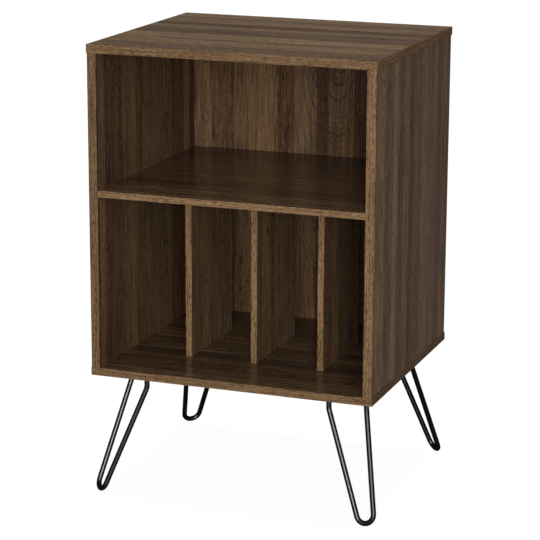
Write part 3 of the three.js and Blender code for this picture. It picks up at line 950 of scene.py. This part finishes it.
def bend_rod(bm, corners):
    """Draws the rod along its corners: straight runs are extruded and bends are spun."""
    points = [point for point, _ in corners]
    heading = (points[1] - points[0]).normalized()
    turn = heading.to_track_quat("Z", "Y").to_matrix().to_4x4()
    ring = bmesh.ops.create_circle(
        bm,
        cap_ends=True,
        segments=ROD_SIDES,
        radius=ROD_RADIUS,
        matrix=Matrix.Translation(points[0]) @ turn,
    )["verts"]
    edges = list({edge for vert in ring for edge in vert.link_edges})
    here = points[0]
    for (point, radius), following in zip(corners[1:], [*points[2:], None]):
        reach, swing = 0, None
        if following is not None:
            onward = (following - point).normalized()
            swing = heading.angle(onward)
            reach = radius * math.tan(swing / 2)
        target = point - heading * reach
        made = bmesh.ops.extrude_edge_only(bm, edges=edges)["geom"]
        moved = [g for g in made if isinstance(g, bmesh.types.BMVert)]
        bmesh.ops.translate(bm, vec=target - here, verts=moved)
        edges = [
            g
            for g in made
            if isinstance(g, bmesh.types.BMEdge) and all(v in moved for v in g.verts)
        ]
        here = target
        if swing is None:
            bmesh.ops.contextual_create(bm, geom=edges)
            continue
        axis = heading.cross(onward).normalized()
        centre = here + axis.cross(heading) * radius
        made = bmesh.ops.spin(
            bm,
            geom=edges,
            cent=centre,
            axis=axis,
            angle=swing,
            steps=max(4, round(swing * 12)),
        )["geom_last"]
        edges = [g for g in made if isinstance(g, bmesh.types.BMEdge)]
        heading = onward
        here = point + heading * reach
    lowest = min(vert.co.z for vert in bm.verts)
    bmesh.ops.translate(bm, vec=(0, 0, -lowest), verts=bm.verts)


def mounting_plate(corner):
    """A three-cornered steel plate with blunt ends, cut from a square of sheet."""
    near = Vector((*from_corner(corner, PLATE_NEAR, PLATE_NEAR), LEG_HEIGHT - PLATE_THICKNESS))
    far = Vector((*from_corner(corner, PLATE_FAR, PLATE_FAR), LEG_HEIGHT))
    bm = block(
        [min(a, b) for a, b in zip(near, far)],
        [max(a, b) for a, b in zip(near, far)],
    )
    blunt = PLATE_NEAR + PLATE_BLUNT_END
    first = Vector((*from_corner(corner, PLATE_FAR, blunt), LEG_HEIGHT))
    second = Vector((*from_corner(corner, blunt, PLATE_FAR), LEG_HEIGHT))
    away = Vector((-CORNERS[corner][0], -CORNERS[corner][1], 0))
    bmesh.ops.bisect_plane(
        bm,
        geom=[*bm.verts, *bm.edges, *bm.faces],
        plane_co=(first + second) / 2,
        plane_no=away,
        clear_outer=True,
    )
    rims = [edge for edge in bm.edges if edge.is_boundary]
    bmesh.ops.holes_fill(bm, edges=rims)
    upright = [e for e in bm.edges if abs(e.verts[0].co.z - e.verts[1].co.z) > PLATE_THICKNESS / 2]
    round_off(bm, upright, PLATE_CORNER, segments=5)
    under = min(bm.faces, key=lambda face: face.calc_center_median().z)
    round_off(bm, list(under.edges), PLATE_ROUNDING, segments=2)
    drills = bmesh.new()
    for insets in PLATE_SCREWS:
        bmesh.ops.create_cone(
            drills,
            cap_ends=True,
            segments=TURNED_SIDES,
            radius1=PLATE_HOLE,
            radius2=PLATE_HOLE,
            depth=3 * PLATE_THICKNESS,
            matrix=Matrix.Translation((*from_corner(corner, *insets), LEG_HEIGHT)),
        )
    return carve(bm, drills)


def weld_bead(bm, at):
    """A ring of weld round the rod, raised in overlapping ripples."""
    before = set(bm.verts)
    plate = LEG_HEIGHT - PLATE_THICKNESS
    profile = [
        (ROD_RADIUS - WELD_BITE, plate + WELD_ROOT),
        (ROD_RADIUS - WELD_BITE, plate - WELD_REACH * 0.95),
        (ROD_RADIUS + 0.35, plate - WELD_REACH * 0.9),
        (ROD_RADIUS + WELD_REACH * 0.45, plate - WELD_REACH * 0.55),
        (ROD_RADIUS + WELD_REACH * 0.85, plate - 0.35),
        (ROD_RADIUS + WELD_REACH * 0.9, plate + WELD_ROOT),
    ]
    turned(bm, [*profile, profile[0]], steps=WELD_SIDES, at=(*at, 0))
    for vert in set(bm.verts) - before:
        out = vert.co.xy - Vector(at)
        if out.length > ROD_RADIUS + 0.1:
            angle = math.atan2(out.y, out.x)
            ripple = WELD_RIPPLE * abs(math.sin(angle * WELD_RIPPLES))
            ripple += WELD_UNEVENNESS * math.sin(angle * 3 + at[0])
            vert.co.xy += out.normalized() * (ripple - WELD_UNEVENNESS)
            if vert.co.z < plate:
                vert.co.z -= ripple * 0.6


def add_leg(corner):
    rod = bmesh.new()
    bend_rod(rod, rod_corners(corner))
    node = f"leg_{corner}"
    piece(f"bent_rod_{corner}", rod, BLACK_LACQUER, [node])
    piece(f"mounting_plate_{corner}", mounting_plate(corner), BLACK_LACQUER, [node])
    welds = bmesh.new()
    offset = ROD_SPREAD / 2 / math.sqrt(2)
    for side in (1, -1):
        weld_bead(welds, from_corner(corner, LEG_INSET + side * offset, LEG_INSET - side * offset))
    piece(f"weld_beads_{corner}", welds, BLACK_LACQUER, [node])


for corner in CORNERS:
    add_leg(corner)


# ---- screws, nails and cover discs --------------------------------------------------------


def cut_cross_recess(bm, radius, level):
    """Cuts a driver's cross into a head: two tapered slots, widest where they come out."""
    reach, half, depth = (radius * RECESS[key] for key in ("reach", "half", "depth"))
    for long, short in ((reach, half), (half, reach)):
        slot = block((-long, -short, level - 1), (long, short, level + depth))
        for vert in slot.verts:
            if vert.co.z > level:
                vert.co.xy *= RECESS_TAPER
        bm = carve(bm, slot)
    return bm


def add_thread(bm, core, radius, pitch, start, end):
    """Adds a thread, spun up round the core and thinned out towards the point."""
    ridge = bmesh.new()
    half, root = pitch * THREAD_WIDTH, core - THREAD_ROOT
    profile = ((root, start - half), (radius, start), (root, start + half))
    verts = [ridge.verts.new((out, 0, level)) for out, level in profile]
    edges = [ridge.edges.new((verts[i], verts[i - 1])) for i in range(3)]
    turns = (end - start) / pitch
    steps = round(turns * THREAD_SIDES)
    bmesh.ops.spin(
        ridge,
        geom=edges,
        cent=(0, 0, 0),
        axis=AXES[Z],
        dvec=(0, 0, pitch / THREAD_SIDES),
        angle=math.tau * steps / THREAD_SIDES,
        steps=steps,
    )
    bmesh.ops.holes_fill(ridge, edges=[edge for edge in ridge.edges if edge.is_boundary])
    for vert in ridge.verts:
        taper = min(1.0, max(THREAD_POINT, (end - vert.co.z) / SCREW_TIP))
        vert.co.xy *= taper
    bmesh.ops.recalc_face_normals(ridge, faces=ridge.faces)
    if ridge.calc_volume(signed=True) < 0:
        bmesh.ops.reverse_faces(ridge, faces=ridge.faces)
    mesh = bpy.data.meshes.new("thread")
    ridge.to_mesh(mesh)
    ridge.free()
    bm.from_mesh(mesh)
    bpy.data.meshes.remove(mesh)


def screw_shape(domed, head, shank, core, thread, pitch, length):
    """A screw that points up. Its head bears on level 0, or is sunk until it is flush there."""
    radius, height = head
    if domed:
        dome = [math.pi / 2 * i / 7 for i in range(8)]
        profile = [(radius * math.sin(a), -height * math.cos(a)) for a in dome]
        profile += [(radius - SCREW_RIM, 0), (shank[0], 0)]
    else:
        rim = [(radius - SCREW_RIM, 0), (radius, COUNTERSINK_RIM)]
        profile = [(0, 0), *rim, (shank[0], height)]
    profile += [
        shank,
        (core, shank[1] + SHANK_TAPER),
        (core, length - SCREW_TIP),
        (0, length),
    ]
    bm = bmesh.new()
    turned(bm, profile)
    bm = cut_cross_recess(bm, radius, -height if domed else 0)
    bmesh.ops.recalc_face_normals(bm, faces=bm.faces)
    start, end = shank[1] + THREAD_START, length - SCREW_TIP * THREAD_END
    add_thread(bm, core, thread, pitch, start, end)
    return bm


def add_screws():
    for kind, size in SCREWS.items():
        drawn = screw_shape(**size)
        mesh = bpy.data.meshes.new(kind)
        drawn.to_mesh(mesh)
        drawn.free()
        nodes = sorted(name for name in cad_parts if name.startswith(kind))
        for number, node in enumerate(nodes):
            low, high = (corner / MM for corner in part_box(node))
            level = low.z + (size["head"][1] if size["domed"] else 0)
            bm = bmesh.new()
            bm.from_mesh(mesh)
            turn = Matrix.Rotation(math.radians(SCREW_TURN * number + FIRST_TURN), 4, "Z")
            place = Matrix.Translation(((low.x + high.x) / 2, (low.y + high.y) / 2, level))
            bmesh.ops.transform(bm, matrix=place @ turn, verts=bm.verts)
            black = kind == "leg_screw"
            finish = BLACK_OXIDE if black else ZINC
            piece(f"threaded_{node}", bm, finish, [node], faces_settled=True)
        bpy.data.meshes.remove(mesh)


def add_nails():
    """Nails through the back panel, into the sides and the shelf."""
    places = [(side * SIDE_MIDDLE, z) for side in (-1, 1) for z in NAIL_SIDE_LEVELS]
    places += [(x, SHELF_MIDDLE) for x in NAIL_SHELF_PLACES]
    bm = bmesh.new()
    for x, z in places:
        before = set(bm.verts)
        turned(bm, [(NAIL_RADIUS * share, height) for share, height in NAIL_PROFILE], steps=16)
        made = [vert for vert in bm.verts if vert not in before]
        place = facing(AXES[Y], (x, CABINET_FRONT, z))
        bmesh.ops.transform(bm, matrix=place, verts=made)
    piece("back_panel_nails", bm, ZINC)


def add_cover_discs():
    """Discs stuck over the cam nuts in the sides, which would show above the shelf."""
    for side, inward in (("left", 1), ("right", -1)):
        for end in ("front", "rear"):
            low, high = (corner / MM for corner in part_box(f"top_cam_nut_{side}_{end}"))
            middle = (low + high) / 2
            middle.x = high.x if inward > 0 else low.x
            bm = bmesh.new()
            profile = [
                (0, DISC_THICKNESS),
                (DISC_RADIUS - DISC_CHAMFER, DISC_THICKNESS),
                (DISC_RADIUS, DISC_THICKNESS / 2),
                (DISC_RADIUS, 0),
                (0, 0),
            ]
            turned(bm, profile, steps=40)
            place = facing(AXES[X] * inward, middle)
            bmesh.ops.transform(bm, matrix=place, verts=bm.verts)
            piece(f"cover_disc_{side}_{end}", bm, DISC_FILM)


add_screws()
add_nails()
add_cover_discs()


# ---- room: floor, light and camera -------------------------------------------------------

DAYLIGHT = 0.2
FLOOR_SIZE = 40.0
FLOOR_LEVEL = -0.0002  # just under the feet
FLOOR_GREY = (0.62, 0.61, 0.60)
FLOOR_GLOW = 1.15
FLOOR_GLOW_SHARE = 0.82  # the rest of what the camera sees of the floor takes its shadows


def seen_directly(sheet):
    """1 for the camera's rays and for those that gloss or glass sends on, else 0."""
    path = sheet.add("LightPath").outputs
    rays = sheet.total(
        path["Is Camera Ray"], path["Is Glossy Ray"], path["Is Transmission Ray"]
    )
    return sheet.math("MINIMUM", rays, 1.0)


def add_floor():
    bm = bmesh.new()
    bmesh.ops.create_grid(bm, x_segments=4, y_segments=4, size=FLOOR_SIZE / 2)
    mesh = bpy.data.meshes.new("studio_floor")
    bm.to_mesh(mesh)
    bm.free()
    floor = bpy.data.objects.new("studio_floor", mesh)
    floor.location.z = FLOOR_LEVEL
    bpy.context.scene.collection.objects.link(floor)
    finish = Finish("pale_floor", Base_Color=FLOOR_GREY, Roughness=0.9)
    glow = finish.add("Emission", Color=(1, 1, 1), Strength=FLOOR_GLOW)
    mix = finish.add("MixShader")
    finish.feed(mix.inputs[0], finish.product(seen_directly(finish), FLOOR_GLOW_SHARE))
    finish.feed(mix.inputs[1], finish.surface.outputs[0])
    finish.feed(mix.inputs[2], glow.outputs[0])
    output = finish.tree.nodes["Material Output"]
    finish.tree.links.new(mix.outputs[0], output.inputs["Surface"])
    mesh.materials.append(finish.material)


def add_daylight():
    world = bpy.data.worlds.new("studio")
    world.use_nodes = True
    sheet = NodeSheet(world.node_tree)
    background = world.node_tree.nodes["Background"]
    sheet.feed(background.inputs["Color"], (1, 1, 1))
    strength = sheet.span(seen_directly(sheet), 0.0, 1.0, DAYLIGHT, 1.0)
    sheet.feed(background.inputs["Strength"], strength)
    bpy.context.scene.world = world


def add_softbox(name, azimuth, elevation, share, softness):
    """A distant soft light. A white face square to it would get this share of full white."""
    lamp = bpy.data.lights.new(name, "SUN")
    lamp.energy = share * math.pi
    lamp.angle = math.radians(softness)
    light = bpy.data.objects.new(name, lamp)
    bpy.context.scene.collection.objects.link(light)
    turn, rise = math.radians(azimuth), math.radians(elevation)
    towards = Vector(
        (math.sin(turn) * math.cos(rise), -math.cos(turn) * math.cos(rise), math.sin(rise))
    )
    light.rotation_mode = "QUATERNION"
    light.rotation_quaternion = towards.to_track_quat("Z", "Y")


def add_camera(place, yaw, pitch, roll, lens):
    data = bpy.data.cameras.new("camera")
    data.lens = lens
    data.sensor_width = 36.0
    data.clip_end = 100.0
    camera = bpy.data.objects.new("camera", data)
    bpy.context.scene.collection.objects.link(camera)
    upright = Matrix.Rotation(math.radians(90 - pitch), 4, "X")
    tilted = upright @ Matrix.Rotation(math.radians(roll), 4, "Z")
    turned_round = Matrix.Rotation(math.radians(yaw), 4, "Z")
    camera.matrix_world = Matrix.Translation(Vector(place) * MM) @ turned_round @ tilted
    bpy.context.scene.camera = camera


add_floor()
add_daylight()
add_softbox("key_light", azimuth=20, elevation=5, share=0.64, softness=24)
add_softbox("fill_light", azimuth=20, elevation=28, share=0.28, softness=30)
add_softbox("overhead_light", azimuth=180, elevation=85, share=0.39, softness=16)
add_camera((1387, -3763, 1416), yaw=20.33, pitch=14.2, roll=0.23, lens=145.0)
bpy.context.scene.view_settings.view_transform = "Standard"
